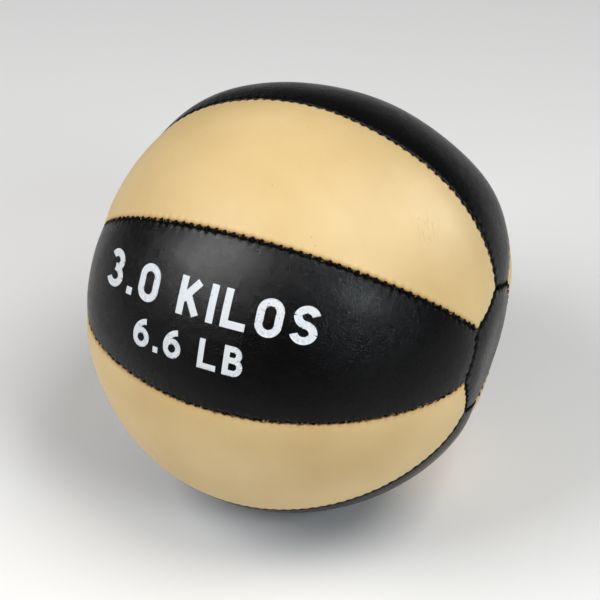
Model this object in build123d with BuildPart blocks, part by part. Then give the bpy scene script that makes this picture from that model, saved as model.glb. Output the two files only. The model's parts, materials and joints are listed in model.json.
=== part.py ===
from build123d import *
import os
from functools import partial
from math import asin, atan, cos, degrees, radians, sin, sqrt, tan

os.makedirs("parts", exist_ok=True)

# A 3 kg medicine ball: eight leather gores in two colours and two octagonal end
# caps, sewn edge to edge over a stuffed core. The polar axis, on which the caps
# sit, runs along X, and Z is up. The origin is the middle of the small flat on
# which the ball rests. Millimetres and degrees.

ball_radius = 115.0
rest_sag = 2.5             # how far the ball's own weight flattens it where it stands
gore_count = 8
gore_colours = ("tan", "black")
first_seam = -7.7          # turn of the first seam about X, from +Y towards +Z
cap_corner_angle = 18.7    # from the pole to a corner of the octagonal cap
cap_pole_radius = 111.9    # the caps are a little flatter than the ball

leather = 2.0              # thickness of the cover
turn_in = 8.0              # depth of the edges that are turned in and sewn together
seam_gap = 0.1             # between two turned-in edges
edge_roll = 2.2            # how round the leather turns in at a seam
clearance = 0.05           # between two layers

stitch_pitch = 4.7
stitch_depth = 4.6         # from the surface down to the line of stitches
thread_width = 0.8         # flat waxed thread
bar_radius = 0.34          # it is squeezed round and thinner inside the leather
stitch_hole_radius = 0.42
stitch_end_margin = 4.0    # of the last stitch from the cap seam
cap_stitches = 5           # along each side of a cap

lining = 0.8               # canvas glued behind the leather
lining_inset = 3.1         # the canvas and the stuffing stop short of the stitching

core_gap = 0.3             # between the stuffed core and the turned-in edges
ballast_radius = 49.1
bag_wall = 0.8
bag_neck_radius = 7.0
bag_frill_radius = 15.0
bag_neck_height = 57.0     # where the neck is tied, above the middle of the ball
bag_top = 70.0
bag_fold = 4.0             # rounding of the cloth above and below the tie
bag_room = 0.3             # between the bag and the stuffing
tie_radius = 0.9
tie_turns = 3
tie_pitch = 1.6            # the turns of the tie press into each other
tie_knot_radius = 2.2
tie_tail = 16.0
tie_tail_spread = 25.0     # degrees, to each side

ink = 0.12                 # thickness of the printed weight
print_gore = 3
print_stroke = 0.2         # of a letter's height, as the next four are
print_gap = 0.2
letter_width = 0.68
narrow_width = 0.2         # of an I and a point
space_width = 0.24
print_lines = (            # words, letter height, middle along X, drop below the gore's middle
    ("3.0 KILOS", 19.0, -13.5, -10.0),
    ("6.6 LB", 15.0, -16.0, 15.0),
)

# Worked out from the above
centre_height = ball_radius - rest_sag
ball_centre = Vector(0, 0, centre_height)
gore_pitch = 360 / gore_count
half_gore = gore_pitch / 2
cap_side_angle = degrees(atan(tan(radians(cap_corner_angle)) * cos(radians(half_gore))))
cap_half_side = degrees(asin(sin(radians(cap_corner_angle)) * sin(radians(half_gore))))
stitch_radius = ball_radius - stitch_depth
stitch_angle = degrees(stitch_pitch / stitch_radius)
thread_offset = seam_gap / 2 + leather + clearance + thread_width / 2
bar_length = 2 * thread_offset - thread_width
corner_reach = ball_radius * cos(radians(cap_corner_angle))
dome_shift = (ball_radius**2 - cap_pole_radius**2) / (2 * (cap_pole_radius - corner_reach))
dome_radius = cap_pole_radius + dome_shift
cap_run_lean = cos(radians(cap_side_angle)) * cos(radians(half_gore))
cap_run_rise = sin(radians(cap_side_angle))
cap_run_angle = degrees(
    atan(cap_run_rise / cap_run_lean)
    - asin(thread_offset / stitch_radius / sqrt(cap_run_lean**2 + cap_run_rise**2))
)
cap_run_bend = sqrt(stitch_radius**2 - thread_offset**2)
cap_run_half = stitch_radius * sin(radians(cap_run_angle)) * sin(radians(half_gore))
cap_run_reach = degrees(asin(cap_run_half / cap_run_bend))
stuffing_depth = leather + lining + 2 * clearance
tie_height = centre_height + bag_neck_height
tie_reach = bag_neck_radius + tie_radius + clearance
knot_reach = tie_reach + tie_knot_radius
tie_room_radius = knot_reach + tie_tail + bag_room
tie_room_height = 2 * (tie_knot_radius + bag_room)


def outward(turn):
    """Direction away from the polar axis at a turn about it."""
    return Vector(0, cos(radians(turn)), sin(radians(turn)))


def around(turn):
    """Direction round the polar axis at the same turn."""
    return Vector(0, -sin(radians(turn)), cos(radians(turn)))


def seam_turn(number):
    return first_seam + number * gore_pitch


def middle_turn(number):
    return seam_turn(number) + half_gore


def cap_seam_normal(number, side):
    """Square to the cap seam at the end of a gore, pointing into the gore."""
    tilt = radians(cap_side_angle)
    return outward(middle_turn(number)) * cos(tilt) - Vector(side * sin(tilt), 0, 0)


def cap_seam_middle(number, side):
    """From the ball's middle to the middle of the same cap seam."""
    tilt = radians(cap_side_angle)
    return outward(middle_turn(number)) * sin(tilt) + Vector(side * cos(tilt), 0, 0)


def plane_through(normal, shift):
    """A plane square to a direction, at a distance from the ball's middle."""
    return Plane(origin=ball_centre + normal * shift, z_dir=normal)


def floor_plane(height):
    return Plane.XY.offset(height)


def gore_planes(number, inset):
    """The four sides of a gore, facing inwards."""
    planes = [
        plane_through(around(seam_turn(number)), inset),
        plane_through(-around(seam_turn(number + 1)), inset),
    ]
    for side in (-1, 1):
        planes.append(plane_through(cap_seam_normal(number, side), inset))
    return planes


def cap_planes(side, inset):
    """The eight sides of an end cap, facing inwards."""
    return [plane_through(-cap_seam_normal(number, side), inset) for number in range(gore_count)]


def wedge(middle, radius, planes):
    """The part of a ball that lies on the inner side of every plane."""
    with BuildPart() as piece:
        with Locations(middle):
            Sphere(radius)
        for plane in planes:
            split(bisect_by=plane, keep=Keep.TOP)
    return piece.part


def seam_stitches(number):
    """Planes across one long seam, one at each stitch."""
    reach = 90 - cap_corner_angle - degrees(stitch_end_margin / stitch_radius)
    count = int(reach / stitch_angle)
    planes = []
    for step in range(-count, count + 1):
        lean = radians(step * stitch_angle)
        place = Vector(sin(lean), 0, 0) + outward(seam_turn(number)) * cos(lean)
        spot = ball_centre + place * stitch_radius
        planes.append(Plane(origin=spot, z_dir=around(seam_turn(number))))
    return planes


def cap_side_stitches(number, side):
    """Planes across one side of a cap, one at each stitch."""
    planes = []
    for step in range(cap_stitches):
        lean = radians((step - (cap_stitches - 1) / 2) * stitch_angle)
        place = cap_seam_middle(number, side) * cos(lean) + around(middle_turn(number)) * sin(lean)
        spot = ball_centre + place * stitch_radius
        planes.append(Plane(origin=spot, z_dir=cap_seam_normal(number, side)))
    return planes


def thread_run(normal, shift, middle, reach):
    """Thread that lies along a seam, on one face of the turned-in leather."""
    hub = ball_centre + normal * shift
    bend = sqrt(stitch_radius**2 - shift**2)
    along = normal.cross(middle)
    start = middle * cos(radians(reach)) - along * sin(radians(reach))
    tangent = middle * sin(radians(reach)) + along * cos(radians(reach))
    with BuildPart() as run:
        with BuildSketch(Plane(origin=hub + start * bend, x_dir=normal, z_dir=tangent)):
            Rectangle(thread_width, thread_width)
        revolve(axis=Axis(hub, normal), revolution_arc=2 * reach)
    return run.part


def both_runs(normal, middle, reach):
    return [thread_run(normal, shift, middle, reach) for shift in (-thread_offset, thread_offset)]


def save(piece, name):
    piece.part.label = name
    export_step(piece.part, f"parts/{name}.step")


# Cover: each panel is a leather skin with its edges turned in, and holes along
# them for the thread. The two panels under the ball are pressed flat there.


def cover_panel(middle, radius, planes_at, stitches):
    """A panel of the cover, with its edges turned in."""
    outside = wedge(middle, radius, planes_at(seam_gap / 2))
    inner_sides = planes_at(seam_gap / 2 + leather) + [floor_plane(leather)]
    pocket = wedge(middle, radius - leather, inner_sides)
    with BuildPart() as panel:
        add(outside)
        with Locations(ball_centre):
            Sphere(ball_radius - turn_in, mode=Mode.SUBTRACT)
        fillet(panel.faces().sort_by(SortBy.AREA)[-1].edges(), radius=edge_roll)
        split(bisect_by=floor_plane(0), keep=Keep.TOP)
        add(pocket, mode=Mode.SUBTRACT)
        with Locations(*stitches):
            Cylinder(stitch_hole_radius, 2 * bar_length, mode=Mode.SUBTRACT)
    return panel


def canvas_ply(middle, radius, planes_at):
    """The canvas behind a panel, inside the stitching."""
    depth = leather + clearance
    sides = planes_at(lining_inset)
    inside = wedge(middle, radius - depth - lining, sides + [floor_plane(depth + lining)])
    outside = wedge(middle, radius - depth, sides + [floor_plane(depth)])
    with BuildPart() as ply:
        add(outside)
        with Locations(ball_centre):
            Sphere(ball_radius - turn_in, mode=Mode.SUBTRACT)
        add(inside, mode=Mode.SUBTRACT)
    return ply


def dome_middle(side):
    return ball_centre - Vector(side * dome_shift, 0, 0)


for number in range(gore_count):
    label = f"{gore_colours[number % 2]}_{number // 2 + 1}"
    planes_at = partial(gore_planes, number)
    stitches = seam_stitches(number) + seam_stitches(number + 1)
    for side in (-1, 1):
        stitches += cap_side_stitches(number, side)
    gore = cover_panel(ball_centre, ball_radius, planes_at, stitches)
    save(gore, f"gore_{label}")
    backing = canvas_ply(ball_centre, ball_radius, planes_at)
    save(backing, f"backing_{label}")

for side, hand in ((-1, "left"), (1, "right")):
    planes_at = partial(cap_planes, side)
    stitches = []
    for number in range(gore_count):
        stitches += cap_side_stitches(number, side)
    end_cap = cover_panel(dome_middle(side), dome_radius, planes_at, stitches)
    save(end_cap, f"end_cap_{hand}")
    backing = canvas_ply(dome_middle(side), dome_radius, planes_at)
    save(backing, f"backing_cap_{hand}")

# Thread: a run on each side of the seam, joined through the leather at every stitch.

seam_reach = len(seam_stitches(0)) / 2 * stitch_angle
for number in range(gore_count):
    runs = both_runs(around(seam_turn(number)), outward(seam_turn(number)), seam_reach)
    with BuildPart() as seam_thread:
        add(runs)
        with Locations(*seam_stitches(number)):
            Cylinder(bar_radius, bar_length)
    save(seam_thread, f"seam_thread_{number}" if number else "closing_seam_thread")

for side, hand in ((-1, "left"), (1, "right")):
    runs = []
    for number in range(gore_count):
        normal = cap_seam_normal(number, side)
        middle = cap_seam_middle(number, side)
        runs.append(thread_run(normal, thread_offset, middle, cap_stitches / 2 * stitch_angle))
        runs.append(thread_run(normal, -thread_offset, middle, cap_run_reach))
    with BuildPart() as cap_thread:
        add(runs)
        for number in range(gore_count):
            with Locations(*cap_side_stitches(number, side)):
                Cylinder(bar_radius, bar_length)
    save(cap_thread, f"cap_seam_thread_{hand}")

# Core: textile stuffing packed round a tied bag of sand, with a pad that fills
# each panel between its turned-in edges.


def bag_form(grow):
    """The outside of the tied bag, made larger by a clearance."""
    belly = ballast_radius + clearance + bag_wall + grow
    neck = bag_neck_radius + grow
    fold = neck + bag_fold
    shoulder = sqrt(belly**2 - fold**2)
    top = bag_top + grow
    frill = bag_frill_radius + grow
    with BuildPart() as form:
        with BuildSketch(Plane(origin=ball_centre, x_dir=(1, 0, 0), z_dir=(0, -1, 0))):
            with BuildLine():
                Line((0, -belly), (0, top))
                Line((0, top), (frill, top))
                Line((frill, top), (neck, bag_neck_height + bag_fold))
                Line((neck, bag_neck_height + bag_fold), (neck, bag_neck_height - bag_fold))
                Line((neck, bag_neck_height - bag_fold), (fold, shoulder))
                ThreePointArc((fold, shoulder), (belly, 0), (0, -belly))
            make_face()
        revolve(axis=Axis(ball_centre, (0, 0, 1)))
    return form.part


def core_pad(middle, radius, sides):
    """Stuffing that fills one panel."""
    sides = sides + [floor_plane(stuffing_depth)]
    return wedge(middle, radius - stuffing_depth, sides)


pads = [core_pad(ball_centre, ball_radius, gore_planes(number, lining_inset)) for number in range(gore_count)]
pads += [core_pad(dome_middle(side), dome_radius, cap_planes(side, lining_inset)) for side in (-1, 1)]

with BuildPart() as ballast:
    with Locations(ball_centre):
        Sphere(ballast_radius)
save(ballast, "ballast")

with BuildPart() as ballast_bag:
    add(bag_form(0))
    with Locations(ball_centre):
        Sphere(ballast_radius + clearance, mode=Mode.SUBTRACT)
save(ballast_bag, "ballast_bag")

with BuildPart() as bag_tie:
    for turn in range(tie_turns):
        lift = (turn - (tie_turns - 1) / 2) * tie_pitch
        with Locations((0, 0, tie_height + lift)):
            Torus(tie_reach, tie_radius)
    with Locations((knot_reach, 0, tie_height)):
        Sphere(tie_knot_radius)
    for spread in (-tie_tail_spread, tie_tail_spread):
        away = Vector(cos(radians(spread)), sin(radians(spread)), 0)
        with BuildSketch(Plane(origin=(knot_reach, 0, tie_height), z_dir=away)):
            Circle(tie_radius)
        extrude(amount=tie_tail)
save(bag_tie, "ballast_bag_tie")

with BuildPart() as stuffing:
    with Locations(ball_centre):
        Sphere(ball_radius - turn_in - core_gap)
    add(pads)
    add(bag_form(bag_room), mode=Mode.SUBTRACT)
    with Locations((0, 0, tie_height)):
        Cylinder(tie_room_radius, tie_room_height, mode=Mode.SUBTRACT)
save(stuffing, "stuffing")

# Weight marking: flat letters of ink on the gore that faces forward, made of
# strokes in a box one unit high.

strokes = {
    "3": (
        ((0.11, 0.79), (0.33, 0.90), (0.51, 0.71)),
        ((0.51, 0.71), (0.44, 0.57), (0.28, 0.53)),
        ((0.28, 0.53), (0.48, 0.46), (0.56, 0.30)),
        ((0.56, 0.30), (0.33, 0.10), (0.10, 0.22)),
    ),
    "0": (
        ((0.10, 0.64), (0.34, 0.90), (0.58, 0.64)),
        ((0.58, 0.64), (0.58, 0.36)),
        ((0.58, 0.36), (0.34, 0.10), (0.10, 0.36)),
        ((0.10, 0.36), (0.10, 0.64)),
    ),
    "6": (
        ((0.10, 0.34), (0.34, 0.58), (0.58, 0.34)),
        ((0.58, 0.34), (0.34, 0.10), (0.10, 0.34)),
        ((0.10, 0.34), (0.20, 0.72), (0.50, 0.90)),
    ),
    "I": (((0.10, 0.0), (0.10, 1.0)),),
    "K": (
        ((0.10, 0.0), (0.10, 1.0)),
        ((0.14, 0.40), (0.55, 0.94)),
        ((0.27, 0.56), (0.57, 0.06)),
    ),
    "S": (
        ((0.55, 0.76), (0.33, 0.90), (0.12, 0.72)),
        ((0.12, 0.72), (0.17, 0.60), (0.34, 0.51)),
        ((0.34, 0.51), (0.51, 0.42), (0.56, 0.29)),
        ((0.56, 0.29), (0.33, 0.10), (0.10, 0.25)),
    ),
    "L": (
        ((0.10, 1.0), (0.10, 0.0)),
        ((0.10, 0.10), (0.66, 0.10)),
    ),
    "B": (
        ((0.10, 0.0), (0.10, 1.0)),
        ((0.10, 0.90), (0.33, 0.90)),
        ((0.33, 0.90), (0.51, 0.72), (0.33, 0.53)),
        ((0.10, 0.53), (0.35, 0.53)),
        ((0.35, 0.53), (0.57, 0.315), (0.35, 0.10)),
        ((0.35, 0.10), (0.10, 0.10)),
    ),
}
strokes["O"] = strokes["0"]


def width_of(letter):
    if letter == " ":
        return space_width
    return narrow_width if letter in "I." else letter_width


def lay_out(words):
    """Each letter with its place along the line, the line being centred on 0."""
    total = sum(width_of(letter) + print_gap for letter in words) - print_gap
    place = -total / 2
    placed = []
    for letter in words:
        placed.append((letter, place))
        place += width_of(letter) + print_gap
    return placed


print_plane = Plane(
    origin=ball_centre + outward(middle_turn(print_gore)) * ball_radius,
    x_dir=(1, 0, 0),
    z_dir=outward(middle_turn(print_gore)),
)
with BuildPart() as weight_print:
    with BuildSketch(print_plane):
        for words, height, middle, drop in print_lines:
            for letter, place in lay_out(words):
                left = middle + place * height
                foot = -drop - height / 2
                if letter == ".":
                    dot = print_stroke * height
                    with Locations((left + dot / 2, foot + dot / 2)):
                        Rectangle(dot, dot)
                for points in strokes.get(letter, ()):
                    spots = [(left + x * height, foot + y * height) for x, y in points]
                    with BuildLine() as stroke:
                        if len(spots) == 2:
                            Line(*spots)
                        else:
                            ThreePointArc(*spots)
                    trace(line_width=print_stroke * height)
    extrude(amount=ball_radius / 4, both=True)
    with Locations(ball_centre):
        Sphere(ball_radius + ink, mode=Mode.INTERSECT)
    with Locations(ball_centre):
        Sphere(ball_radius, mode=Mode.SUBTRACT)
save(weight_print, "weight_print")
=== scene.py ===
import json
import math

import bpy
import numpy as np
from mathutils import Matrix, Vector

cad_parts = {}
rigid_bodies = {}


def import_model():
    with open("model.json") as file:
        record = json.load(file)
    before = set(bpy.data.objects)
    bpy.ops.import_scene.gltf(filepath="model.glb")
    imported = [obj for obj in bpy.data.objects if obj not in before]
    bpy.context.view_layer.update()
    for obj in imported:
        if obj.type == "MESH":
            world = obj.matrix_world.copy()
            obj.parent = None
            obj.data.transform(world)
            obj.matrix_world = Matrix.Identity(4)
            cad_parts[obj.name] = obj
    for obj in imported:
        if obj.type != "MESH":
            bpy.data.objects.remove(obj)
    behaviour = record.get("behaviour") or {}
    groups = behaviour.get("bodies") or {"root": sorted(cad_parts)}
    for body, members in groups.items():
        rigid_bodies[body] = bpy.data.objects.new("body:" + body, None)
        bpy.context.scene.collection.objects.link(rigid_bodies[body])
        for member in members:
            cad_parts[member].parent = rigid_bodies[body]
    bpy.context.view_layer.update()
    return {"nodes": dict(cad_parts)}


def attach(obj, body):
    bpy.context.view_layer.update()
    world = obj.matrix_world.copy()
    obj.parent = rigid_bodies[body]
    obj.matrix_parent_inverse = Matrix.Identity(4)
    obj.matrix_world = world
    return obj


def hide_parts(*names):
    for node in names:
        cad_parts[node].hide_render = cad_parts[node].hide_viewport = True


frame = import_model()

# Metres and degrees. The polar axis, with a cap at each end, runs along X.

ball = {
    "radius": 0.115,
    "restSag": 0.0025,
    "gores": 8,
    "firstSeam": -7.7,
    "capCorner": 18.7,
    "stitchPitch": 0.0047,
    "stitchDepth": 0.0046,
    "lineEnd": 0.004,
    "capStitches": 5,
    "floorSoftness": 0.0004,
    "nearFloor": 0.01,
}

# Where the stuffing has settled: each lump or flat has its middle (angle from the
# right pole, turn about the polar axis), its reach, and its lift as a share of the radius.
lumps = {
    "flatRightCap": (5, 280, 17, -0.050),
    "flatLeftCap": (180, 0, 33, -0.050),
    "rightShoulder": (41, 40, 17, 0.036),
    "leftTopShoulder": (124, 70, 16, 0.022),
    "lowLeftBelly": (103, 215, 38, 0.025),
    "tiredTop": (92, 56, 14, -0.007),
    "topSeamRight": (45, 82, 20, 0.026),
    "topSeamLeft": (98, 84, 24, 0.011),
    "lowerLeftSeam": (138, 174, 17, 0.016),
}

seam = {
    "gap": 0.00022,
    "rollWidth": 0.0021,
    "rollDepth": 0.0020,
    "hollowWidth": 0.0085,
    "hollowDepth": 0.0007,
    "pullDepth": 0.0008,
    "pullReach": 0.0019,
    "puckerDepth": 0.00012,
    "puckerReach": 0.0042,
    "seed": 7,
}

middle = Vector((0, 0, ball["radius"] - ball["restSag"]))
goreTurn = 360 / ball["gores"]
halfGore = math.radians(goreTurn / 2)
capTilt = math.atan(math.tan(math.radians(ball["capCorner"])) * math.cos(halfGore))
stitchAngle = ball["stitchPitch"] / (ball["radius"] - ball["stitchDepth"])


def outward(turn):
    return np.array([0, math.cos(math.radians(turn)), math.sin(math.radians(turn))])


def around(turn):
    return np.array([0, -math.sin(math.radians(turn)), math.cos(math.radians(turn))])


def seamTurn(number):
    return ball["firstSeam"] + number * goreTurn


def goreMiddle(number):
    return seamTurn(number) + goreTurn / 2


def longSeam(number):
    # one of the seams that run from cap to cap
    number = number % ball["gores"]
    return {
        "name": f"long{number}",
        "normal": around(seamTurn(number)),
        "middle": outward(seamTurn(number)),
        "along": np.array([1.0, 0, 0]),
        "stitches": longStitches,
        "number": number,
    }


def capSeam(number, side):
    # the seam between a cap and the end of one gore
    tilt = np.array([side * math.sin(capTilt), 0, 0])
    lean = np.array([side * math.cos(capTilt), 0, 0])
    return {
        "name": f"cap{side}{number}",
        "normal": outward(goreMiddle(number)) * math.cos(capTilt) - tilt,
        "middle": outward(goreMiddle(number)) * math.sin(capTilt) + lean,
        "along": around(goreMiddle(number)),
        "stitches": ball["capStitches"] // 2,
        "number": ball["gores"] * (2 + side) + number,
    }


lineReach = math.pi / 2 - math.radians(ball["capCorner"])
lineReach -= ball["lineEnd"] / (ball["radius"] - ball["stitchDepth"])
longStitches = int(lineReach / stitchAngle)


def bodyRadius(directions):
    # distance from the middle of the ball to its settled surface
    radius = np.full(len(directions), ball["radius"])
    for polar, turn, reach, lift in lumps.values():
        peak = outward(turn) * math.sin(math.radians(polar))
        peak = peak + np.array([math.cos(math.radians(polar)), 0, 0])
        angle = np.degrees(np.arccos(np.clip(directions @ peak, -1, 1)))
        radius += ball["radius"] * lift * np.exp(-(angle / reach) ** 2)
    return radius


def floorLift(points):
    # the ball is pressed flat where it would pass through the floor
    height = points[:, 2]
    lifted = 0.5 * (height + np.sqrt(height**2 + ball["floorSoftness"] ** 2))
    return np.outer(np.where(height < ball["nearFloor"], lifted - height, 0), (0, 0, 1))


def settled(directions, radius, depth=0.0):
    # points at a depth below a surface that rests on the floor
    points = np.array(middle) + directions * radius[:, None]
    return points + floorLift(points) - directions * np.reshape(depth, (-1, 1))


def stitchPull(line, distance, place):
    # how far the thread draws the leather in, beside each stitch
    draw = np.random.default_rng(seam["seed"] + line["number"])
    strength = draw.uniform(0.65, 1.15, 200)
    shift = draw.uniform(-0.07, 0.07, 200)
    stitch = place / (stitchAngle * ball["radius"])
    index = np.clip(np.round(stitch) + 100, 0, 199).astype(int)
    phase = stitch - np.round(stitch) - shift[index]
    inside = np.abs(np.round(stitch)) <= line["stitches"]
    pulse = (0.5 + 0.5 * np.cos(2 * np.pi * np.clip(phase, -0.5, 0.5))) ** 1.6
    pulse = pulse * strength[index] * inside
    pull = seam["pullDepth"] * np.exp(-(distance / seam["pullReach"]) ** 2)
    pucker = seam["puckerDepth"] * np.exp(-(distance / seam["puckerReach"]) ** 2)
    return pulse * (pull + pucker) - 0.35 * pucker


def seamDistances(directions, lines):
    found = []
    for line, sign in lines:
        away = sign * np.arcsin(np.clip(directions @ line["normal"], -1, 1)) * ball["radius"]
        lean = np.arctan2(directions @ line["along"], directions @ line["middle"])
        found.append((line, away, lean * ball["radius"]))
    return found


def leatherPoints(directions, lines, depth=0.0):
    # the surface of a sewn panel, at a depth below it
    open = np.ones(len(directions))
    sunk = np.zeros(len(directions))
    for line, away, place in seamDistances(directions, lines):
        away = np.maximum(away, 0)
        roll = np.clip(1 - away / seam["rollWidth"], 0, 1)
        open *= np.sqrt(np.clip(1 - roll**2, 0, 1))
        sunk += seam["hollowDepth"] * np.exp(-(away / seam["hollowWidth"]) ** 2)
        sunk += stitchPull(line, away, place)
    sunk += seam["rollDepth"] * (1 - open)
    return settled(directions, bodyRadius(directions) - sunk, depth)


def deselectAll():
    if bpy.context.object and bpy.context.object.mode != "OBJECT":
        bpy.ops.object.mode_set(mode="OBJECT")
    bpy.ops.object.select_all(action="DESELECT")


def pick(piece):
    deselectAll()
    bpy.context.view_layer.objects.active = piece
    piece.select_set(True)


def faceOutwards(piece, merge=0.0):
    pick(piece)
    bpy.ops.object.mode_set(mode="EDIT")
    bpy.ops.mesh.select_all(action="SELECT")
    if merge:
        bpy.ops.mesh.remove_doubles(threshold=merge)
    bpy.ops.mesh.normals_make_consistent(inside=False)
    bpy.ops.object.mode_set(mode="OBJECT")


def readPoints(piece):
    points = np.empty(len(piece.data.vertices) * 3)
    piece.data.vertices.foreach_get("co", points)
    return points.reshape(-1, 3)


def writePoints(piece, points):
    piece.data.vertices.foreach_set("co", np.asarray(points).ravel())
    piece.data.update()


def unit(vectors):
    return vectors / np.linalg.norm(vectors, axis=1)[:, None]


def closerToEdges(share, near):
    # spreads -1..1 so that the lines crowd towards both ends
    return np.sign(share) * (1 - (1 - np.abs(share)) ** near)


# Leather panels. A grid is wrapped over each gore, its rim is turned in towards the
# middle of the ball, and the sheet is then given the leather's thickness.

gorePanel = {
    "columns": 460,
    "rows": 56,
    "edgeCrowding": 2.1,
    "leather": 0.0012,
    "turnSteps": (0.0012, 0.0030, 0.0060),
    "shareOfFlat": 0.75,
}


def goreDirections(number, grid):
    # x of the grid runs from cap to cap and y from seam to seam
    gap = seam["gap"] / ball["radius"]
    across = closerToEdges(grid[:, 1], gorePanel["edgeCrowding"])
    lean = across * halfGore
    turn = lean + math.radians(goreMiddle(number))
    ends = np.arctan(math.tan(capTilt) / np.cos(lean)) + gap
    polar = math.pi / 2 - grid[:, 0] * (math.pi / 2 - ends)
    directions = np.stack([
        np.cos(polar),
        np.sin(polar) * np.cos(turn),
        np.sin(polar) * np.sin(turn),
    ], axis=1)
    for line, sign in goreLines(number)[:2]:
        near = directions @ line["normal"] * sign
        directions += np.outer(np.clip(gap - near, 0, None) * sign, line["normal"])
    return unit(directions)


def goreLines(number):
    lines = [(longSeam(number), 1), (longSeam(number + 1), -1)]
    return lines + [(capSeam(number, side), 1) for side in (-1, 1)]


def turnRimIn(piece, steps):
    # extrudes the open rim towards the middle of the ball
    pick(piece)
    bpy.ops.object.mode_set(mode="EDIT")
    bpy.ops.mesh.select_mode(type="EDGE")
    bpy.ops.mesh.select_all(action="DESELECT")
    bpy.ops.mesh.select_non_manifold()
    reached = 0.0
    for step in steps:
        bpy.ops.mesh.extrude_edges_move()
        shrink = (ball["radius"] - step) / (ball["radius"] - reached)
        bpy.ops.transform.resize(value=(shrink,) * 3, center_override=middle)
        reached = step
    bpy.ops.object.mode_set(mode="OBJECT")


def finishPanel(piece, thickness):
    faceOutwards(piece)
    lookAwayFromMiddle(piece)
    wall = piece.modifiers.new("thickness", "SOLIDIFY")
    wall.thickness = thickness
    wall.offset = -1
    wall.use_even_offset = False
    bpy.ops.object.modifier_apply(modifier=wall.name)
    points = readPoints(piece)
    points[:, 2] = np.maximum(points[:, 2], 0)  # the turned rim stays on the floor
    writePoints(piece, points)
    bpy.ops.object.shade_smooth()


def lookAwayFromMiddle(piece):
    # an open panel has no inside of its own, so its faces may all have turned inwards
    faces = piece.data.polygons
    outside = sum((face.center - middle).dot(face.normal) * face.area for face in faces)
    if outside < 0:
        piece.data.flip_normals()


def addGrid(name, columns, rows):
    deselectAll()
    bpy.ops.mesh.primitive_grid_add(x_subdivisions=columns, y_subdivisions=rows, size=2)
    piece = bpy.context.object
    piece.name = name
    return piece


def seamAttribute(piece, lines):
    # distance to the nearest seam, for wear, dirt and painted shade along the edges
    directions = unit(readPoints(piece) - np.array(middle))
    nearest = np.full(len(directions), 1.0)
    for line, away, place in seamDistances(directions, lines):
        nearest = np.minimum(nearest, np.abs(away))
    layer = piece.data.attributes.new("seamDistance", "FLOAT", "POINT")
    layer.data.foreach_set("value", nearest.astype(np.float32))


def makeGore(number):
    colour = ("tan", "black")[number % 2]
    label = f"{colour}_{number // 2 + 1}"
    piece = addGrid(f"{colour}Gore{number // 2 + 1}", gorePanel["columns"], gorePanel["rows"])
    directions = goreDirections(number, readPoints(piece))
    writePoints(piece, leatherPoints(directions, goreLines(number)))
    turnRimIn(piece, gorePanel["turnSteps"])
    finishPanel(piece, gorePanel["leather"])
    seamAttribute(piece, goreLines(number))
    piece.data.materials.append(leatherOf[colour])
    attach(piece, "root")
    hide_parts(f"gore_{label}")


# End caps: an octagonal disc, fanned out from its middle.

capPanel = {
    "around": 384,
    "rings": 40,
    "ringCrowding": 2.0,
    "shareOfFlat": 0.83,
}


def capDirections(side, disc):
    # the rim of a round disc is drawn out to the octagon
    turn = np.arctan2(disc[:, 1], disc[:, 0])
    share = np.clip(np.hypot(disc[:, 0], disc[:, 1]), 0, 1)
    share = 1 - (1 - share) ** capPanel["ringCrowding"]
    first = math.radians(seamTurn(0))
    lean = np.mod(turn - first, 2 * halfGore) - halfGore
    edge = np.arctan(math.tan(capTilt) / np.cos(lean)) - seam["gap"] / ball["radius"]
    polar = share * edge
    return np.stack([
        side * np.cos(polar),
        np.sin(polar) * np.cos(turn),
        np.sin(polar) * np.sin(turn),
    ], axis=1)


def capLines(side):
    return [(capSeam(number, side), -1) for number in range(ball["gores"])]


def addDisc(name, count, rings):
    # a fan of triangles in the middle, and rings round it
    deselectAll()
    bpy.ops.mesh.primitive_circle_add(vertices=count, radius=1 / rings, fill_type="TRIFAN")
    piece = bpy.context.object
    piece.name = name
    bpy.ops.object.mode_set(mode="EDIT")
    bpy.ops.mesh.select_mode(type="EDGE")
    bpy.ops.mesh.select_all(action="DESELECT")
    bpy.ops.mesh.select_non_manifold()
    for ring in range(1, rings):
        bpy.ops.mesh.extrude_edges_move()
        bpy.ops.transform.resize(value=((ring + 1) / ring,) * 3, center_override=(0, 0, 0))
    bpy.ops.object.mode_set(mode="OBJECT")
    return piece


def makeCap(side, hand):
    piece = addDisc(f"{hand}Cap", capPanel["around"], capPanel["rings"])
    directions = capDirections(side, readPoints(piece))
    writePoints(piece, leatherPoints(directions, capLines(side)))
    turnRimIn(piece, gorePanel["turnSteps"])
    finishPanel(piece, gorePanel["leather"])
    seamAttribute(piece, capLines(side))
    piece.data.materials.append(leatherOf["black"])
    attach(piece, "root")
    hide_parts(f"end_cap_{hand}")


# Materials read Object coordinates, so every pattern keeps its real scale.

def newMaterial(name):
    material = bpy.data.materials.new(name)
    material.use_nodes = True
    nodes = material.node_tree.nodes
    shader = nodes["Principled BSDF"]
    return material, nodes, material.node_tree.links, shader


def addNode(nodes, kind, **settings):
    node = nodes.new(kind)
    for name, value in settings.items():
        if hasattr(node, name):
            setattr(node, name, value)
        else:
            node.inputs[name.replace("_", " ")].default_value = value
    return node


def addNoise(nodes, links, scale, detail=3.0, roughness=0.5):
    place = addNode(nodes, "ShaderNodeTexCoord")
    noise = addNode(nodes, "ShaderNodeTexNoise", Scale=scale, Detail=detail, Roughness=roughness)
    links.new(place.outputs["Object"], noise.inputs["Vector"])
    return noise.outputs["Fac"]


def addRamp(nodes, links, source, stops):
    # stops are (place, colour or grey)
    ramp = addNode(nodes, "ShaderNodeValToRGB")
    entries = ramp.color_ramp.elements
    while len(entries) < len(stops):
        entries.new(0.5)
    for entry, (place, colour) in zip(entries, stops):
        entry.position = place
        entry.color = colour if isinstance(colour, tuple) else (colour, colour, colour, 1)
    links.new(source, ramp.inputs["Fac"])
    return ramp.outputs["Color"]


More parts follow.
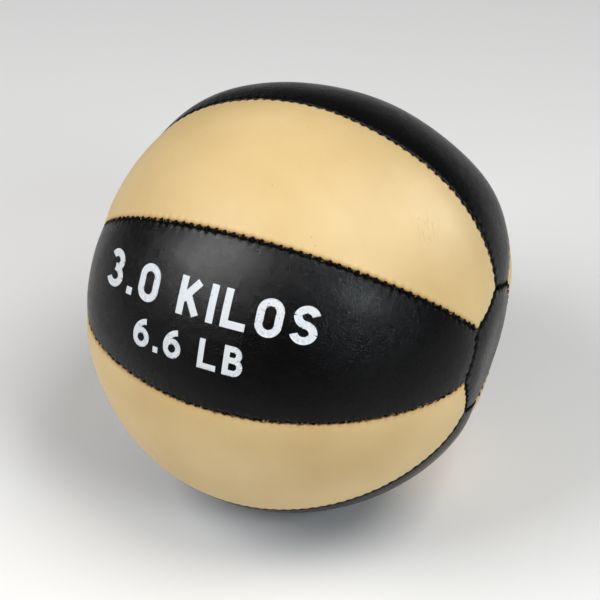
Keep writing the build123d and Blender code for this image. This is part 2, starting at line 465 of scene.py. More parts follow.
def addMix(nodes, links, share, first, second, blend="MIX"):
    mix = addNode(nodes, "ShaderNodeMix", data_type="RGBA", blend_type=blend)
    for name, value in (("Factor", share), ("A", first), ("B", second)):
        socket = [entry for entry in mix.inputs if entry.name == name and entry.enabled][0]
        if isinstance(value, (float, tuple)):
            socket.default_value = value
        else:
            links.new(value, socket)
    return [entry for entry in mix.outputs if entry.enabled][0]


def addBump(nodes, links, height, strength, distance, under=None):
    bump = addNode(nodes, "ShaderNodeBump", Strength=strength, Distance=distance)
    links.new(height, bump.inputs["Height"])
    if under is not None:
        links.new(under, bump.inputs["Normal"])
    return bump.outputs["Normal"]


def addCells(nodes, links, scale):
    # the closed cells of a leather grain, dark along their edges
    place = addNode(nodes, "ShaderNodeTexCoord")
    cells = addNode(nodes, "ShaderNodeTexVoronoi", feature="DISTANCE_TO_EDGE", Scale=scale)
    links.new(place.outputs["Object"], cells.inputs["Vector"])
    return addRamp(nodes, links, cells.outputs["Distance"], ((0.0, 0.0), (0.16, 1.0)))


def addSeamBand(nodes, links, width):
    # 1 at a seam, falling to 0 a width away from it
    near = addNode(nodes, "ShaderNodeAttribute", attribute_name="seamDistance")
    band = addNode(nodes, "ShaderNodeMapRange", interpolation_type="SMOOTHSTEP")
    band.inputs["From Min"].default_value = 0.0
    band.inputs["From Max"].default_value = width
    band.inputs["To Min"].default_value = 1.0
    band.inputs["To Max"].default_value = 0.0
    links.new(near.outputs["Fac"], band.inputs["Value"])
    return band.outputs["Result"]


tanLeather = {
    "light": (0.765, 0.585, 0.31, 1),
    "deep": (0.68, 0.50, 0.245, 1),
    "freckle": (0.50, 0.33, 0.15, 1),
    "atSeam": (0.62, 0.40, 0.17, 1),
    "seamBand": 0.0032,
    # painted shade with some dirt: a near-black band in the groove of each seam
    "grooveDirtAndShade": (0.06, 0.04, 0.02, 1),
    "grooveDirtAndShadeBand": 0.0011,
    "cloudScale": 17,
    "freckleScale": 620,
    "slackScale": 85,
    "grain": 1250,
    "roughness": (0.40, 0.52),
    "specular": 0.35,
    "creaseMiddle": (0.074, -0.022, 0.196),
    "creaseTurn": (50, 0, 22.5),
    "creaseReach": 0.013,
    "creaseSize": (0.0030, 0.028, 0.0030),
    "creaseDepth": 0.00014,
}


def addTurnedPlace(nodes, links, at, turned, size):
    # Object coordinates seen from a spot of the surface, at another size
    place = addNode(nodes, "ShaderNodeTexCoord")
    mapping = addNode(nodes, "ShaderNodeMapping", vector_type="TEXTURE")
    mapping.inputs["Location"].default_value = at
    mapping.inputs["Rotation"].default_value = [math.radians(angle) for angle in turned]
    mapping.inputs["Scale"].default_value = size
    links.new(place.outputs["Object"], mapping.inputs["Vector"])
    return mapping.outputs["Vector"]


def addCreases(nodes, links, look):
    # a few slack creases in one spot: the contours of a drawn-out noise
    drawnOut = addTurnedPlace(nodes, links, look["creaseMiddle"], look["creaseTurn"], look["creaseSize"])
    noise = addNode(nodes, "ShaderNodeTexNoise", Scale=1.0, Detail=1.0)
    links.new(drawnOut, noise.inputs["Vector"])
    lines = addRamp(nodes, links, noise.outputs["Fac"], ((0.43, 0.0), (0.50, 1.0), (0.57, 0.0)))
    reach = (look["creaseReach"],) * 3
    around = addTurnedPlace(nodes, links, look["creaseMiddle"], (0, 0, 0), reach)
    away = addNode(nodes, "ShaderNodeVectorMath", operation="LENGTH")
    links.new(around, away.inputs[0])
    near = addRamp(nodes, links, away.outputs["Value"], ((0.35, 1.0), (1.0, 0.0)))
    return addMix(nodes, links, 1.0, lines, near, "MULTIPLY")


def makeTanLeather():
    look = tanLeather
    material, nodes, links, shader = newMaterial("tanLeather")
    clouds = addNoise(nodes, links, look["cloudScale"], 4.0)
    colour = addRamp(nodes, links, clouds, ((0.32, look["deep"]), (0.68, look["light"])))
    specks = addNoise(nodes, links, look["freckleScale"], 1.0)
    specks = addRamp(nodes, links, specks, ((0.735, 0.0), (0.80, 0.5)))
    colour = addMix(nodes, links, specks, colour, look["freckle"])
    colour = addMix(nodes, links, addSeamBand(nodes, links, look["seamBand"]), colour, look["atSeam"])
    # painted shade in each seam's groove, with some dirt: the tan turns near black within about a
    # millimetre of the seam
    colour = addMix(nodes, links, addSeamBand(nodes, links, look["grooveDirtAndShadeBand"]), colour, look["grooveDirtAndShade"])
    links.new(colour, shader.inputs["Base Color"])
    smooth, rough = look["roughness"]
    sheen = addRamp(nodes, links, addNoise(nodes, links, 60, 3.0), ((0.3, smooth), (0.7, rough)))
    links.new(sheen, shader.inputs["Roughness"])
    shader.inputs["Specular IOR Level"].default_value = look["specular"]
    slack = addBump(nodes, links, addNoise(nodes, links, look["slackScale"], 2.0), 0.25, 0.0006)
    creases = addBump(nodes, links, addCreases(nodes, links, look), 1.0, look["creaseDepth"], slack)
    creases.node.invert = True
    grain = addBump(nodes, links, addCells(nodes, links, look["grain"]), 0.16, 0.00006, creases)
    links.new(grain, shader.inputs["Normal"])
    return material


blackLeather = {
    "light": (0.0035, 0.0035, 0.0040, 1),
    "deep": (0.0015, 0.0015, 0.0018, 1),
    "scuff": (0.035, 0.035, 0.036, 1),
    "cloudScale": 30,
    "scuffScale": 700,
    "slackScale": 150,
    "grain": 1050,
    "roughness": (0.23, 0.31),
    "specular": 0.18,
}


def makeBlackLeather():
    look = blackLeather
    material, nodes, links, shader = newMaterial("blackLeather")
    clouds = addNoise(nodes, links, look["cloudScale"], 4.0)
    colour = addRamp(nodes, links, clouds, ((0.35, look["deep"]), (0.65, look["light"])))
    scuffs = addNoise(nodes, links, look["scuffScale"], 1.0)
    scuffs = addRamp(nodes, links, scuffs, ((0.75, 0.0), (0.80, 0.6)))
    colour = addMix(nodes, links, scuffs, colour, look["scuff"])
    links.new(colour, shader.inputs["Base Color"])
    smooth, rough = look["roughness"]
    sheen = addRamp(nodes, links, addNoise(nodes, links, 90, 4.0), ((0.3, smooth), (0.7, rough)))
    links.new(sheen, shader.inputs["Roughness"])
    shader.inputs["Specular IOR Level"].default_value = look["specular"]
    slack = addBump(nodes, links, addNoise(nodes, links, look["slackScale"], 2.5), 0.4, 0.0006)
    grain = addBump(nodes, links, addCells(nodes, links, look["grain"]), 0.5, 0.0001, slack)
    links.new(grain, shader.inputs["Normal"])
    return material


threadLook = {
    "deep": (0.003, 0.003, 0.0035, 1),
    "light": (0.010, 0.010, 0.011, 1),
    "fibres": 2600,
    "roughness": 0.62,
    "specular": 0.12,
}


def makeThreadLook():
    material, nodes, links, shader = newMaterial("waxedThread")
    fibres = addNoise(nodes, links, threadLook["fibres"], 2.0)
    colour = addRamp(nodes, links, fibres, ((0.3, threadLook["deep"]), (0.75, threadLook["light"])))
    links.new(colour, shader.inputs["Base Color"])
    shader.inputs["Roughness"].default_value = threadLook["roughness"]
    shader.inputs["Specular IOR Level"].default_value = threadLook["specular"]
    links.new(addBump(nodes, links, fibres, 0.4, 0.0001), shader.inputs["Normal"])
    return material


inkLook = {
    "white": (0.74, 0.77, 0.80, 1),
    "bare": (0.02, 0.02, 0.022, 1),
    "pinholes": 1150,
    "roughness": 0.55,
    "specular": 0.3,
}


def makeInkLook():
    # screen print that has missed the leather's deepest pores
    material, nodes, links, shader = newMaterial("printedInk")
    pores = addNoise(nodes, links, inkLook["pinholes"], 1.5)
    pores = addRamp(nodes, links, pores, ((0.715, 0.0), (0.745, 1.0)))
    colour = addMix(nodes, links, pores, inkLook["white"], inkLook["bare"])
    links.new(colour, shader.inputs["Base Color"])
    shader.inputs["Roughness"].default_value = inkLook["roughness"]
    shader.inputs["Specular IOR Level"].default_value = inkLook["specular"]
    grain = addBump(nodes, links, addCells(nodes, links, blackLeather["grain"]), 0.25, 0.00006)
    links.new(grain, shader.inputs["Normal"])
    return material


canvasLook = {"light": (0.62, 0.55, 0.42, 1), "deep": (0.40, 0.34, 0.24, 1), "pitch": 0.0007}
bagLook = {"light": (0.60, 0.58, 0.53, 1), "deep": (0.34, 0.33, 0.30, 1), "pitch": 0.0005}


def makeWovenLook(name, look):
    # plain weave that follows the cloth
    material, nodes, links, shader = newMaterial(name)
    place = addNode(nodes, "ShaderNodeAttribute", attribute_name="weavePlace")
    bands = []
    for direction in ("X", "Y"):
        band = addNode(nodes, "ShaderNodeTexWave", bands_direction=direction, Scale=0.314 / look["pitch"])
        links.new(place.outputs["Vector"], band.inputs["Vector"])
        bands.append(band.outputs["Fac"])
    weave = addNode(nodes, "ShaderNodeMath", operation="MAXIMUM")
    links.new(bands[0], weave.inputs[0])
    links.new(bands[1], weave.inputs[1])
    colour = addRamp(nodes, links, weave.outputs[0], ((0.25, look["deep"]), (0.85, look["light"])))
    slubs = addRamp(nodes, links, addNoise(nodes, links, 240, 3.0), ((0.35, 0.82), (0.7, 1.0)))
    colour = addMix(nodes, links, 1.0, colour, slubs, "MULTIPLY")
    links.new(colour, shader.inputs["Base Color"])
    shader.inputs["Roughness"].default_value = 0.92
    shader.inputs["Specular IOR Level"].default_value = 0.2
    links.new(addBump(nodes, links, weave.outputs[0], 0.6, 0.00015), shader.inputs["Normal"])
    return material


def makeStuffingLook():
    # shredded textile: clumps of several faded colours, and loose fibres
    material, nodes, links, shader = newMaterial("textileStuffing")
    place = addNode(nodes, "ShaderNodeTexCoord")
    clumps = addNode(nodes, "ShaderNodeTexVoronoi", Scale=140)
    links.new(place.outputs["Object"], clumps.inputs["Vector"])
    shade = addNode(nodes, "ShaderNodeSeparateColor")
    links.new(clumps.outputs["Color"], shade.inputs["Color"])
    colour = addRamp(nodes, links, shade.outputs["Red"], (
        (0.0, (0.50, 0.48, 0.44, 1)), (0.35, (0.30, 0.33, 0.38, 1)), (0.6, (0.62, 0.60, 0.56, 1)),
        (0.85, (0.36, 0.30, 0.26, 1)), (1.0, (0.20, 0.22, 0.27, 1)),
    ))
    fibres = addNoise(nodes, links, 900, 6.0, 0.7)
    shadow = addRamp(nodes, links, fibres, ((0.3, 0.55), (0.65, 1.0)))
    colour = addMix(nodes, links, 1.0, colour, shadow, "MULTIPLY")
    links.new(colour, shader.inputs["Base Color"])
    shader.inputs["Roughness"].default_value = 0.95
    shader.inputs["Specular IOR Level"].default_value = 0.15
    links.new(addBump(nodes, links, fibres, 0.8, 0.0006), shader.inputs["Normal"])
    return material


def makeSandLook():
    material, nodes, links, shader = newMaterial("drySand")
    place = addNode(nodes, "ShaderNodeTexCoord")
    grains = addNode(nodes, "ShaderNodeTexVoronoi", Scale=1300)
    links.new(place.outputs["Object"], grains.inputs["Vector"])
    shade = addNode(nodes, "ShaderNodeSeparateColor")
    links.new(grains.outputs["Color"], shade.inputs["Color"])
    colour = addRamp(nodes, links, shade.outputs["Green"], (
        (0.0, (0.42, 0.31, 0.19, 1)), (0.6, (0.60, 0.48, 0.32, 1)), (1.0, (0.74, 0.66, 0.52, 1)),
    ))
    links.new(colour, shader.inputs["Base Color"])
    shader.inputs["Roughness"].default_value = 0.8
    links.new(addBump(nodes, links, grains.outputs["Distance"], 0.9, 0.0005), shader.inputs["Normal"])
    return material


def makeCordLook():
    material, nodes, links, shader = newMaterial("cottonCord")
    fibres = addNoise(nodes, links, 2200, 4.0)
    colour = addRamp(nodes, links, fibres, ((0.3, (0.40, 0.36, 0.28, 1)), (0.7, (0.66, 0.62, 0.52, 1))))
    links.new(colour, shader.inputs["Base Color"])
    shader.inputs["Roughness"].default_value = 0.85
    links.new(addBump(nodes, links, fibres, 0.6, 0.0001), shader.inputs["Normal"])
    return material


canvasMaterial = makeWovenLook("cottonCanvas", canvasLook)
bagMaterial = makeWovenLook("bagCloth", bagLook)
stuffingMaterial = makeStuffingLook()
cordMaterial = makeCordLook()
leatherOf = {"tan": makeTanLeather(), "black": makeBlackLeather()}
print("materials made")

for number in range(ball["gores"]):
    makeGore(number)
print("gores wrapped")
for side, hand in ((-1, "left"), (1, "right")):
    makeCap(side, hand)
print("caps made")

# Inside the cover: a canvas backing on each panel, the textile stuffing, and the
# tied bag of sand in its middle.

canvas = {
    "inset": 0.0031,
    "depth": 0.0014,
    "thickness": 0.0008,
    "columns": 150,
    "rows": 28,
    "around": 192,
    "rings": 24,
    "shareOfFlat": 0.78,
}
core = {
    "gap": 0.0026,
    "packedIn": 0.0007,
    "grooveDepth": 0.0084,
    "grooveReach": 0.0034,
    "tuftDepth": 0.0007,
    "fill": 0.95,
    "bagRadius": 0.04995,
    "drawnInHeight": 0.0515,
    "neckFoot": 0.0535,
    "neckRadius": 0.0070,
    "neckHeight": 0.057,
    "frillRadius": 0.0150,
    "frillHeight": 0.070,
    "frillRoll": (0.0016, 0.0003),
    "cloth": 0.0008,
    "room": 0.0004,
    "pleats": 22,
    "pleatDepth": 0.16,
    "pleatStart": 0.012,
    "pleatLength": 0.045,
    "bagFlat": (0.314, 0.17),
    "bagArea": 0.036,
}
tie = {
    "radius": 0.0009,
    "reach": 0.00795,
    "turns": 3,
    "pitch": 0.0016,
    "knot": 0.0022,
    "knotLoop": 0.00062,
    "knotRise": 0.0010,
    "tail": 0.016,
    "tailBow": 0.0011,
    "spread": 25,
}


def drawnIn(directions, lines, inset):
    # brings a panel's edges in from its seams
    for turn in range(3):
        for line, sign in lines:
            near = directions @ line["normal"] * sign
            short = np.clip(inset / ball["radius"] - near, 0, None)
            directions = unit(directions + np.outer(short * sign, line["normal"]))
    return directions


def weavePlaces(piece, pole):
    # where each point lies on the cloth: metres from the pole, and round it
    aside = outward(0) if abs(pole[2]) < 0.5 else np.array([1.0, 0, 0])
    other = np.cross(pole, aside)
    reach = readPoints(piece) - np.array(middle)
    radius = np.linalg.norm(reach, axis=1)
    polar = np.arccos(np.clip(reach @ pole / radius, -1, 1))
    turn = np.arctan2(reach @ other, reach @ aside)
    places = np.stack([polar * radius, turn * radius * np.sin(polar), np.zeros(len(reach))], axis=1)
    layer = piece.data.attributes.new("weavePlace", "FLOAT_VECTOR", "POINT")
    layer.data.foreach_set("vector", places.astype(np.float32).ravel())


def makeCanvas(name, piece, directions, lines):
    directions = drawnIn(directions, lines, canvas["inset"])
    writePoints(piece, leatherPoints(directions, lines, canvas["depth"]))
    finishPanel(piece, canvas["thickness"])
    weavePlaces(piece, np.array([1.0, 0, 0]))
    piece.data.materials.append(canvasMaterial)
    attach(piece, "root")
    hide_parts(f"backing_{name}")


def makeBackings():
    for number in range(ball["gores"]):
        colour = ("tan", "black")[number % 2]
        piece = addGrid(f"{colour}Backing{number // 2 + 1}", canvas["columns"], canvas["rows"])
        directions = goreDirections(number, readPoints(piece))
        label = f"{colour}_{number // 2 + 1}"
        makeCanvas(label, piece, directions, goreLines(number))
    for side, hand in ((-1, "left"), (1, "right")):
        piece = addDisc(f"{hand}CapBacking", canvas["around"], canvas["rings"])
        directions = capDirections(side, readPoints(piece))
        makeCanvas(f"cap_{hand}", piece, directions, capLines(side))


def addTurned(name, outline, around):
    # a form turned about the upright axis; outline is (radius, height) from the middle
    outline = np.array(outline)
    piece = addGrid(name, around, len(outline) - 1)
    grid = readPoints(piece)
    turn = (grid[:, 0] + 1) * np.pi
    step = np.round((grid[:, 1] + 1) / 2 * (len(outline) - 1)).astype(int)
    radius, height = outline[step].T
    points = np.stack([radius * np.cos(turn), radius * np.sin(turn), height], axis=1)
    writePoints(piece, points + np.array(middle))
    faceOutwards(piece, merge=0.00001)
    return piece


def bagOutline(grow, steps=34):
    # the belly of the bag, from its foot to where it is drawn in to the neck
    belly = core["bagRadius"] + grow
    top = math.asin(0.985)
    angles = np.linspace(-math.pi / 2, top, steps)
    return [(belly * math.cos(angle), belly * math.sin(angle)) for angle in angles]


def makeBag():
    # the cloth goes up through the tie, out to the frill and back into the neck
    neck, height = core["neckRadius"], core["neckHeight"]
    rim, top = core["frillRadius"], core["frillHeight"]
    rollIn, rollDown = core["frillRoll"]
    outline = bagOutline(0) + [
        (neck * 1.08, core["drawnInHeight"]), (neck, core["neckFoot"]), (neck * 0.98, height),
        (neck, height + 0.0030), (neck + 0.0022, height + 0.0062), (neck + 0.0052, height + 0.0100),
        (rim, top), (rim - rollIn, top - rollDown),
        (neck, height + 0.0068), (0.0030, height + 0.0042), (0, height + 0.0036),
    ]
    piece = addTurned("ballastBag", outline, 176)
    reach = readPoints(piece) - np.array(middle)
    turn = np.arctan2(reach[:, 1], reach[:, 0])
    grown = np.clip((reach[:, 2] - core["pleatStart"]) / core["pleatLength"], 0, 1) ** 1.5
    wave = 0.5 - 0.5 * np.cos(core["pleats"] * turn + 0.8 * np.sin(3 * turn))
    reach[:, :2] *= (1 - core["pleatDepth"] * grown * wave)[:, None]
    writePoints(piece, reach + np.array(middle))
    finishPanel(piece, core["cloth"])
    weavePlaces(piece, np.array([0, 0, 1.0]))
    piece.data.materials.append(bagMaterial)
    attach(piece, "root")
    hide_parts("ballast_bag")


def makeStuffing():
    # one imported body, with grooves for the turned-in edges and room for the bag
    deselectAll()
    bpy.ops.mesh.primitive_ico_sphere_add(subdivisions=7, radius=1)
    piece = bpy.context.object
    piece.name = "stuffingBody"
    directions = unit(readPoints(piece))
    lines = [(longSeam(number), 1) for number in range(ball["gores"])]
    lines += [(capSeam(number, side), 1) for side in (-1, 1) for number in range(ball["gores"])]
    polar = np.degrees(np.arccos(np.clip(np.abs(directions[:, 0]), 0, 1)))
    nearest = np.full(len(directions), 1.0)
    for line, away, place in seamDistances(directions, lines):
        beside = directions @ line["middle"] > 0
        if line["name"].startswith("long"):
            beside &= polar > ball["capCorner"] - 1
        else:
            beside &= np.abs(place) < math.tan(halfGore) * math.tan(capTilt) * ball["radius"]
        nearest = np.where(beside, np.minimum(nearest, np.abs(away)), nearest)
    depth = core["gap"] + core["grooveDepth"] * np.exp(-(nearest / core["grooveReach"]) ** 2)
    radius = bodyRadius(directions) - core["packedIn"]
    points = settled(directions, radius, depth)
    wave = np.sin(points @ np.array([310.0, 190, 140])) * np.sin(points @ np.array([-160.0, 240, 330]))
    depth = depth + core["tuftDepth"] * (0.5 + 0.5 * wave)
    writePoints(piece, settled(directions, radius, depth))
    neck = core["neckRadius"] + core["room"]
    shelf = tie["knot"] + core["room"]
    roomReach = tie["reach"] + 2 * tie["knot"] + tie["tail"]
    cavity = addTurned("bagCavity", bagOutline(core["room"]) + [
        (neck * 1.1, core["drawnInHeight"]), (neck, core["neckFoot"]),
        (roomReach, core["neckHeight"] - shelf), (roomReach, core["neckHeight"] + shelf),
        (neck, core["neckHeight"] + shelf + core["cloth"]),
        (core["frillRadius"] + core["room"], core["frillHeight"] + core["room"]),
        (0, core["frillHeight"] + core["room"]),
    ], 96)
    cavity.data.flip_normals()
    deselectAll()
    cavity.select_set(True)
    piece.select_set(True)
    bpy.context.view_layer.objects.active = piece
    bpy.ops.object.join()
    bpy.ops.object.shade_smooth()
    piece.data.materials.append(stuffingMaterial)
    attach(piece, "root")
    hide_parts("stuffing")


# Stitches. One bar of twisted thread is shaped once, and a copy of it is laid across
# the seam at each hole, with a run of thread to the next hole behind each edge.

stitch = {
    "radius": 0.00048,
    "lobe": 0.16,
    "sides": 8,
    "twist": 0.5,
    "strands": (-0.00048, 0.00048),
    "meeting": 0.0021,
    "lean": 0.16,
    "drift": 0.0002,
    "unevenDepth": 0.0001,
    "sunk": (0.0004, 0.0004, 0.0005, 0.0, 0.0015, 0.0004, 0.0004, 0.0004),
    "capSunk": -0.0002,
    "runDepth": 0.0047,
    "runOffset": 0.0026,
    "bar": ((-0.0018, 0.0034), (-0.0014, 0.0019), (-0.0007, 0.0014), (0.0, 0.0015),
            (0.0007, 0.0014), (0.0014, 0.0019), (0.0018, 0.0034)),
}


def threadTube(path, thickness):
    # a three-ply thread along a path: rings of points, then the caps at both ends
    path = np.array(path)
    forward = unit(np.gradient(path, axis=0))
    upright = np.abs(forward[:, 2]).max() > 0.9
    aside = unit(np.cross(forward, np.array([1.0, 0.01, 0.02]) if upright else np.array([0.01, 0.02, 1.0])))
    lift = np.cross(aside, forward)
    turns = 2 * np.pi * np.arange(stitch["sides"]) / stitch["sides"]
    points = []
    for ring, spot in enumerate(path):
        turned = turns + ring * stitch["twist"]
        reach = thickness * (1 + stitch["lobe"] * np.cos(3 * turns))
        sideways = np.outer(reach * np.cos(turned), aside[ring])
        points.append(spot + sideways + np.outer(reach * np.sin(turned), lift[ring]))
    points = np.concatenate(points)
    faces = []
    sides = stitch["sides"]
    for ring in range(len(path) - 1):
        for side in range(sides):
            one, two = ring * sides + side, ring * sides + (side + 1) % sides
            faces.append((one, two, two + sides, one + sides))
    faces.append(tuple(reversed(range(sides))))
    faces.append(tuple(range(len(points) - sides, len(points))))
    return points, faces


def meshPiece(name, points, faces):
    mesh = bpy.data.meshes.new(name)
    mesh.from_pydata(points.tolist(), [], faces)
    piece = bpy.data.objects.new(name, mesh)
    bpy.context.collection.objects.link(piece)
    faceOutwards(piece)
    bpy.ops.object.shade_smooth()
    return piece


def seamPlace(line, along, aside, depth):
    # points beside a seam: metres along it, to its side, and below the settled surface
    radius = ball["radius"]
    lean = along / radius
    spot = np.outer(np.cos(lean), line["middle"]) + np.outer(np.sin(lean), line["along"])
    directions = unit(spot + np.outer(aside / radius, line["normal"]))
    return settled(directions, bodyRadius(directions), depth)


def layThread(name, lines, nodeName, sunk):
    # x of the shaped thread goes along the seam, y across it and z is depth
    bar = [(0.0, across, depth) for across, depth in stitch["bar"]]
    barPoints, barFaces = threadTube(bar, stitch["radius"])
    half = stitchAngle * ball["radius"] / 2
    run = [(place * half, stitch["runOffset"], stitch["runDepth"]) for place in (-1.05, -0.35, 0.35, 1.05)]
    runPoints, runFaces = threadTube(run, stitch["radius"])
    points, faces, count = [], [], 0
    for line in lines:
        draw = np.random.default_rng(seam["seed"] + 50 + line["number"])
        for step in range(-line["stitches"], line["stitches"] + 1):
            jitter = draw.uniform(-1, 1, 3)
            place = step * 2 * half
            shapes = []
            for strand in stitch["strands"]:
                laid = barPoints.copy()
                laid[:, 0] += strand * (1 - np.abs(laid[:, 1]) / stitch["meeting"])
                laid[:, 0] += laid[:, 1] * stitch["lean"] * jitter[0] + jitter[1] * stitch["drift"]
                laid[:, 2] += sunk + jitter[2] * stitch["unevenDepth"]
                shapes.append((laid, barFaces))
            for side in (-1, 1):
                behind = runPoints * np.array([1, side, 1])
                shapes.append((behind, runFaces if side > 0 else [face[::-1] for face in runFaces]))
            for shape, shapeFaces in shapes:
                points.append(seamPlace(line, shape[:, 0] + place, shape[:, 1], shape[:, 2]))
                faces.extend(tuple(index + count for index in face) for face in shapeFaces)
                count += len(shape)
    piece = meshPiece(name, np.concatenate(points), faces)
    piece.data.materials.append(threadMaterial)
    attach(piece, "root")
    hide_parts(nodeName)


def makeTie():
    # a few turns round the neck, a knot, and two tails
    turns = np.linspace(0, 2 * math.pi * tie["turns"], 100)
    climb = (turns / (2 * math.pi) - tie["turns"] / 2) * tie["pitch"]
    coil = np.stack([tie["reach"] * np.cos(turns), tie["reach"] * np.sin(turns), climb], axis=1)
    knotMiddle = np.array([tie["reach"] + tie["knot"], 0, 0])
    loop = np.linspace(0, 2 * math.pi, 40)
    knot = np.stack([
        tie["knotLoop"] * (np.sin(loop) + 1.6 * np.sin(2 * loop)),
        tie["knotLoop"] * (np.cos(loop) - 1.6 * np.cos(2 * loop)),
        -tie["knotRise"] * np.sin(3 * loop),
    ], axis=1)
    paths = [coil, knot + knotMiddle]
    for spread in (-tie["spread"], tie["spread"]):
        away = np.array([math.cos(math.radians(spread)), math.sin(math.radians(spread)), 0])
        steps = np.linspace(0.0, 1.0, 14)
        bow = tie["tailBow"] * np.sin(steps * math.pi * 1.5) * (1 if spread > 0 else -1)
        tail = knotMiddle + np.outer(steps * (tie["tail"] + tie["knot"]), away)
        tail[:, 2] += bow
        paths.append(tail)
    points, faces, count = [], [], 0
    for path in paths:
        shape, shapeFaces = threadTube(path, tie["radius"])
        points.append(shape + np.array(middle) + np.array([0, 0, core["neckHeight"]]))
        faces.extend(tuple(index + count for index in face) for face in shapeFaces)
        count += len(shape)
    piece = meshPiece("bagTie", np.concatenate(points), faces)
    piece.data.materials.append(cordMaterial)
    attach(piece, "root")
    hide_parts("ballast_bag_tie")


makeBackings()
makeStuffing()
makeBag()
makeTie()
sand = frame["nodes"]["ballast"]
sand.data.materials.clear()
sand.data.materials.append(makeSandLook())
print("backings, stuffing and sand bag made")

threadMaterial = makeThreadLook()
for number in range(ball["gores"]):
    nodeName = f"seam_thread_{number}" if number else "closing_seam_thread"
    layThread(f"seamStitches{number}", [longSeam(number)], nodeName, stitch["sunk"][number])
for side, hand in ((-1, "left"), (1, "right")):
    lines = [capSeam(number, side) for number in range(ball["gores"])]
    layThread(f"{hand}CapStitches", lines, f"cap_seam_thread_{hand}", stitch["capSunk"])
print("stitches laid")


# Weight print: the flat letters are laid on the leather of their gore.

weightPrint = {"gore": 3, "lift": 0.00012, "foot": 0.0001, "longestEdge": 0.0012, "cuts": 4}


def makeWeightPrint():
    deselectAll()
    piece = frame["nodes"]["weight_print"].copy()
    piece.data = piece.data.copy()
    bpy.context.collection.objects.link(piece)
    piece.name = "weightMarking"
    piece.parent = None
    for key in list(piece.keys()):
        del piece[key]
    bpy.context.view_layer.objects.active = piece
    piece.select_set(True)
    bpy.ops.object.mode_set(mode="EDIT")
    bpy.ops.mesh.select_all(action="SELECT")
    bpy.ops.mesh.remove_doubles(threshold=0.000002)
    for cut in range(weightPrint["cuts"]):
        bpy.ops.mesh.select_mode(type="EDGE")
        bpy.ops.mesh.select_all(action="DESELECT")
        bpy.ops.object.mode_set(mode="OBJECT")
        points = readPoints(piece)
        for edge in piece.data.edges:
            first, last = edge.vertices
            edge.select = bool(np.linalg.norm(points[first] - points[last]) > weightPrint["longestEdge"])
        bpy.ops.object.mode_set(mode="EDIT")
        bpy.ops.mesh.subdivide(number_cuts=1, quadcorner="INNERVERT")
    bpy.ops.object.mode_set(mode="OBJECT")
    reach = readPoints(piece) - np.array(middle)
    directions = unit(reach)
    high = np.linalg.norm(reach, axis=1) - ball["radius"]
    sunk = np.where(high > weightPrint["lift"] / 2, -weightPrint["lift"], weightPrint["foot"])
    writePoints(piece, leatherPoints(directions, goreLines(weightPrint["gore"]), sunk))
    bpy.ops.object.shade_smooth_by_angle(angle=math.radians(40))
    piece.data.materials.clear()
    piece.data.materials.append(makeInkLook())
    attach(piece, "root")
    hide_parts("weight_print")


makeWeightPrint()
print("weight printed")

# Camera, light and floor

view = {
    "azimuth": 22.5,
    "elevation": 40,
    "distance": 0.888,
    "focal": 98.2,
    "sensor": 36,
    "aimRight": 0.0008,
    "aimDown": 0.0019,
    "fill": 0.12,
    "gamma": 0.88,
}


def seenFrom(turn, rise):
    # the direction at a turn from the front and a rise above the floor
    turn, rise = math.radians(turn), math.radians(rise)
    return Vector((math.sin(turn) * math.cos(rise), -math.cos(turn) * math.cos(rise), math.sin(rise)))


def makeCamera():
    back = seenFrom(view["azimuth"], view["elevation"])
    aim = back.to_track_quat("Z", "Y")
    shift = aim @ Vector((view["aimRight"], -view["aimDown"], 0))
    bpy.ops.object.camera_add(location=middle + shift + back * view["distance"])
    camera = bpy.context.object
    camera.name = "camera"
    camera.rotation_euler = aim.to_euler()
    camera.data.lens = view["focal"]
    camera.data.sensor_width = view["sensor"]
    camera.data.clip_start = 0.01
    bpy.context.scene.camera = camera


studioFloor = {"size": 8, "colour": (0.9, 0.9, 0.9, 1), "roughness": 0.9}


def makeFloor():
    deselectAll()
    bpy.ops.mesh.primitive_plane_add(size=studioFloor["size"])
    floor = bpy.context.object
    floor.name = "floor"
    material, nodes, links, shader = newMaterial("paleFloor")
    shader.inputs["Base Color"].default_value = studioFloor["colour"]
    shader.inputs["Roughness"].default_value = studioFloor["roughness"]
    floor.data.materials.append(material)


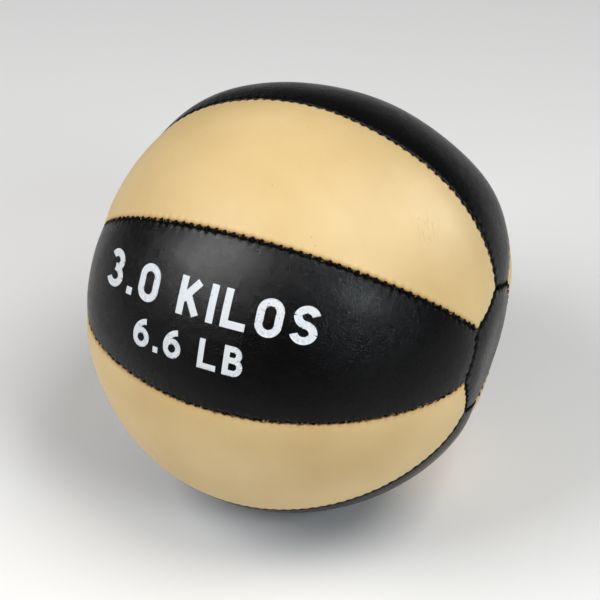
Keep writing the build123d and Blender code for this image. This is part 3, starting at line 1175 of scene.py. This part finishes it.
def addSoftLight(name, place, size, power, colour):
    deselectAll()
    bpy.ops.object.light_add(type="AREA", location=place)
    light = bpy.context.object
    light.name = name
    light.data.shape = "RECTANGLE"
    light.data.size, light.data.size_y = size
    light.data.energy = power
    light.data.color = colour
    light.rotation_euler = (Vector(place) - middle).to_track_quat("Z", "Y").to_euler()
    return light


lights = {
    # name: (turn from the front, rise, distance, width, height, power, colour)
    "bigSoftbox": (-50, 46, 1.4, 0.72, 0.92, 11.8, (1, 1, 1)),
    "sideSoftbox": (64, 36, 1.5, 0.47, 0.47, 6.5, (0.90, 0.96, 1)),
    "overhead": (88, 64, 1.6, 0.8, 0.8, 13, (1, 0.985, 0.96)),
    "leftCard": (-45, 47, 1.4, 0.85, 1.0, 39, (1, 1, 1)),
    "rightCard": (64, 34, 1.5, 0.55, 0.6, 9, (0.85, 0.94, 1)),
    "farCard": (124, 31, 1.6, 0.8, 1.0, 23, (0.92, 0.98, 1)),
}


def panelGroup(name, starts):
    # the leather panels that one card shines on
    group = bpy.data.collections.new(name)
    for piece in bpy.data.objects:
        if piece.name.startswith(starts) and not piece.name.endswith(("Backing", "Stitches")):
            group.objects.link(piece)
    return group


def addLights():
    # a card only shows as a sheen on the leather of one colour
    blackPanels = panelGroup("blackPanels", ("blackGore", "leftCap", "rightCap"))
    tanPanels = panelGroup("tanPanels", ("tanGore",))
    shinesOn = {"leftCard": blackPanels, "rightCard": blackPanels, "farCard": tanPanels}
    for name, (turn, rise, distance, width, height, power, colour) in lights.items():
        place = middle + seenFrom(turn, rise) * distance
        light = addSoftLight(name, place, (width, height), power, colour)
        if name in shinesOn:
            light.visible_diffuse = False
            light.light_linking.receiver_collection = shinesOn[name]


makeCamera()
makeFloor()
addLights()
world = bpy.data.worlds.new("studio")
bpy.context.scene.world = world
world.use_nodes = True
world.node_tree.nodes["Background"].inputs["Color"].default_value = (1, 1, 1, 1)
world.node_tree.nodes["Background"].inputs["Strength"].default_value = view["fill"]
bpy.context.scene.view_settings.view_transform = "Standard"
bpy.context.scene.view_settings.gamma = view["gamma"]
print("camera, floor and light set")
